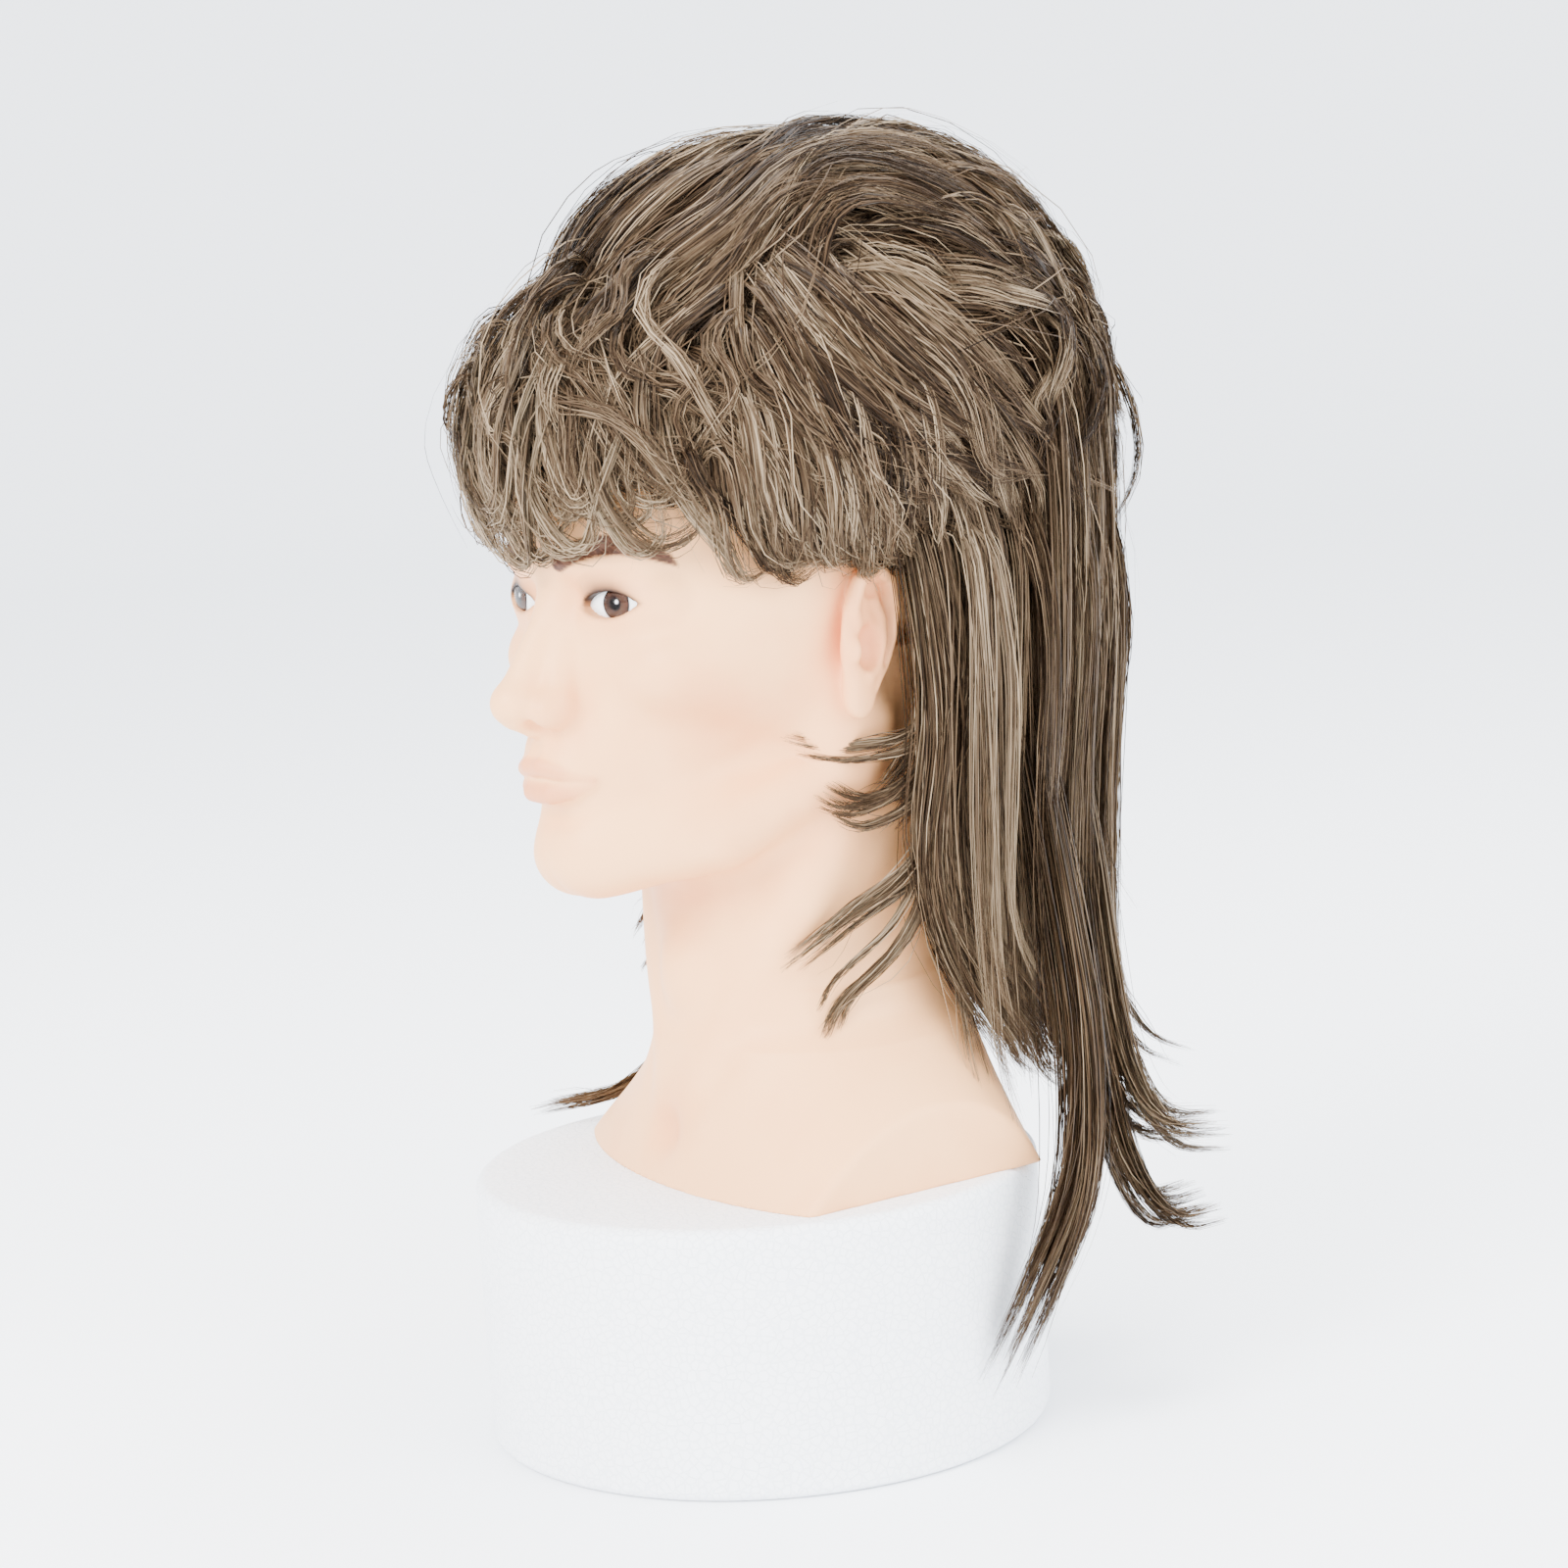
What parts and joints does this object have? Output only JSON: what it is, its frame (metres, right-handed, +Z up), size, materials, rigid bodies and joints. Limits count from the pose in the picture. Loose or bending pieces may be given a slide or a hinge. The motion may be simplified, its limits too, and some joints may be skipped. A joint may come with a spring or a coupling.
{
  "type": "mannequin training head",
  "caption": "Male display and practice head with neck and short bust on a round foam block, wearing a removable layered wig that is short in front and long at the back.",
  "frame": {"origin": "centre of the foam block's bottom face", "axes": "+Z up, the face looks towards -Y, the left ear is on the +X side"},
  "size_m": [0.2387, 0.3021, 0.517],
  "materials": {
    "foam": "expanded foam, fine beads",
    "skin": "soft matt PVC",
    "base_plastic": "matt",
    "socket_plastic": "matt",
    "eye_white": "gloss",
    "iris": "gloss",
    "cornea": "clear",
    "net": "open net",
    "band": "soft woven",
    "stay_metal": "satin",
    "elastic": "elastic webbing",
    "hook_plastic": "moulded",
    "hair": "fine synthetic fibre, ash brown with pale streaks"
  },
  "bodies": {
    "stand": {"foam_block": "foam"},
    "head": {"head_shell": "skin", "base_plate": "base_plastic", "clamp_socket": "socket_plastic", "left_eye_white": "eye_white", "left_eye_iris": "iris", "left_eye_cornea": "cornea", "right_eye_white": "eye_white", "right_eye_iris": "iris", "right_eye_cornea": "cornea"},
    "wig": {"cap_net": "net", "front_band": "band", "nape_band": "band", "nape_loops": "band", "cap_ribbons": "band", "left_ear_tab": "band", "left_ear_stay": "stay_metal", "right_ear_tab": "band", "right_ear_stay": "stay_metal", "hair_fringe": "hair", "hair_top": "hair", "hair_crown": "hair", "hair_upper_back": "hair", "hair_left_side": "hair", "hair_right_side": "hair", "hair_long_back": "hair", "hair_back_tips": "hair", "hair_left_tip": "hair", "hair_right_tip": "hair", "hair_left_neck_length": "hair", "hair_right_neck_length": "hair"},
    "left_adjuster": {"left_adjuster_strap": "elastic", "left_adjuster_hook": "hook_plastic"},
    "right_adjuster": {"right_adjuster_strap": "elastic", "right_adjuster_hook": "hook_plastic"}
  },
  "joints": [
    {"name": "head_lift", "type": "slide", "parent": "stand", "child": "head", "axis": [0, 0, 1], "range_m": [0, 0.12]},
    {"name": "wig_lift", "type": "slide", "parent": "head", "child": "wig", "axis": [0, 0, 1], "range_m": [0, 0.17]},
    {"name": "left_adjuster_slide", "type": "slide", "parent": "wig", "child": "left_adjuster", "axis": [-1, 0, 0], "range_m": [0, 0.006]},
    {"name": "right_adjuster_slide", "type": "slide", "parent": "wig", "child": "right_adjuster", "axis": [1, 0, 0], "range_m": [0, 0.006]}
  ]
}
